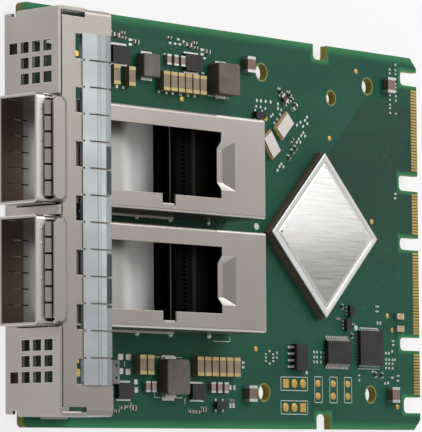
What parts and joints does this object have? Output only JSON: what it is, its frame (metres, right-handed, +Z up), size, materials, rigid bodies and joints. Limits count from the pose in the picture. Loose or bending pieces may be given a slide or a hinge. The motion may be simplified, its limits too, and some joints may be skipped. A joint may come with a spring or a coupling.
{
  "type": "mezzanine network card",
  "caption": "Small network card with a green board, a folded steel front bracket with vents, module cages, a lidded processor and a keyed contact edge.",
  "frame": {"origin": "under the middle of the card's box, at its lowest edge (the faceplate's lower edge)", "axes": "+X from the ports to the contact edge, +Y across the card, +Z up from the component side"},
  "size_m": [0.1212, 0.076, 0.0143],
  "materials": {
    "circuit_board": "green solder mask",
    "gold_plating": "gold plated",
    "bracket_steel": "nickel plated sheet",
    "spring_steel": "bright spring strip",
    "screw_steel": "plated",
    "cage_metal": "nickel plated sheet",
    "connector_plastic": "black moulding",
    "substrate": "laminate",
    "nickel_lid": "satin",
    "solder": "tinned",
    "lamp_plastic": "clear moulding",
    "chip_plastic": "moulded",
    "inductor_core": "pressed powder",
    "ceramic": "ceramic",
    "tan_ceramic": "ceramic",
    "brown_ceramic": "ceramic"
  },
  "bodies": {
    "root": {"bracket_screws": "screw_steel", "brown_capacitor_bodies": "brown_ceramic", "brown_capacitor_end_caps": "solder", "circuit_board": "circuit_board", "controller_chip_body": "chip_plastic", "controller_chip_pads": "solder", "edge_contacts_bottom": "gold_plating", "edge_contacts_top": "gold_plating", "front_bracket": "bracket_steel", "fuse_bodies": "ceramic", "fuse_end_caps": "solder", "indicator_lamps": "lamp_plastic", "inductor_1_core": "inductor_core", "inductor_1_terminals": "solder", "inductor_2_core": "inductor_core", "inductor_2_terminals": "solder", "inductor_3_core": "inductor_core", "inductor_3_terminals": "solder", "logic_chip_body": "chip_plastic", "logic_chip_leads": "solder", "memory_chip_body": "chip_plastic", "memory_chip_leads": "solder", "option_pads": "gold_plating", "oscillator_1_base": "ceramic", "oscillator_1_lid": "nickel_lid", "oscillator_2_base": "ceramic", "oscillator_2_lid": "nickel_lid", "port_1_cage_base": "cage_metal", "port_1_cage_shell": "cage_metal", "port_1_connector_body": "connector_plastic", "port_1_connector_contacts": "gold_plating", "port_1_spring_collar": "cage_metal", "port_2_cage_base": "cage_metal", "port_2_cage_shell": "cage_metal", "port_2_connector_body": "connector_plastic", "port_2_connector_contacts": "gold_plating", "port_2_spring_collar": "cage_metal", "power_stage_1": "chip_plastic", "power_stage_2": "chip_plastic", "power_stage_3": "chip_plastic", "power_stage_4": "chip_plastic", "power_stage_pads": "solder", "processor_lid": "nickel_lid", "processor_substrate": "substrate", "small_capacitor_bodies": "brown_ceramic", "small_capacitor_end_caps": "solder", "spring_finger_strip": "spring_steel", "tan_capacitor_bodies": "tan_ceramic", "tan_capacitor_end_caps": "solder", "test_pads": "gold_plating", "transistor_bodies": "chip_plastic", "transistor_leads": "solder"}
  },
  "joints": []
}
